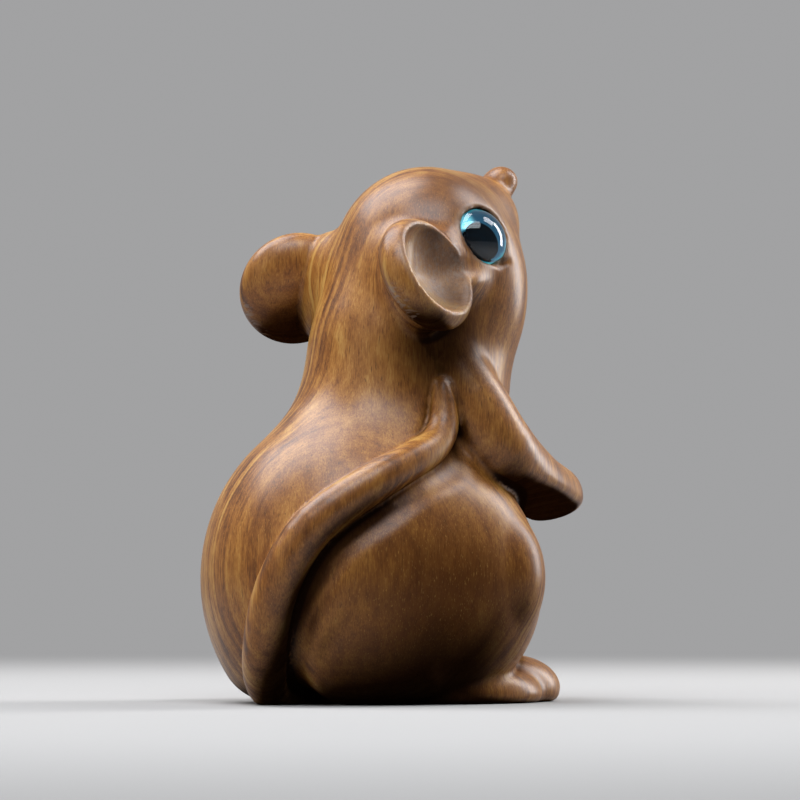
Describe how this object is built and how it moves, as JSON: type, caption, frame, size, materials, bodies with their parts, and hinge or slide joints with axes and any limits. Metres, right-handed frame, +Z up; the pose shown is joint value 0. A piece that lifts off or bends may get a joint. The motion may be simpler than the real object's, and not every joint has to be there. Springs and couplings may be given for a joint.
{
  "type": "rat figurine",
  "caption": "Seated rat ornament carved from solid polished wood, with scooped ears, raised forepaws, a tail in relief on its haunch and inlaid glass eyes.",
  "frame": {"origin": "on the flat base, under the spine, midway between the left and right sides", "axes": "+Z up, -Y the way the rat faces, -X its right side, where the tail lies"},
  "size_m": [0.0454, 0.056, 0.0764],
  "materials": {
    "wood": "waxed semi-gloss",
    "lens": "polished clear",
    "iris": "blue lacquered foil",
    "pupil": "black enamel",
    "adhesive": "cured glue"
  },
  "bodies": {
    "root": {"carved_body": "wood", "right_eye_lens": "lens", "right_eye_iris": "iris", "right_eye_pupil": "pupil", "right_eye_adhesive": "adhesive", "left_eye_lens": "lens", "left_eye_iris": "iris", "left_eye_pupil": "pupil", "left_eye_adhesive": "adhesive"}
  },
  "joints": []
}
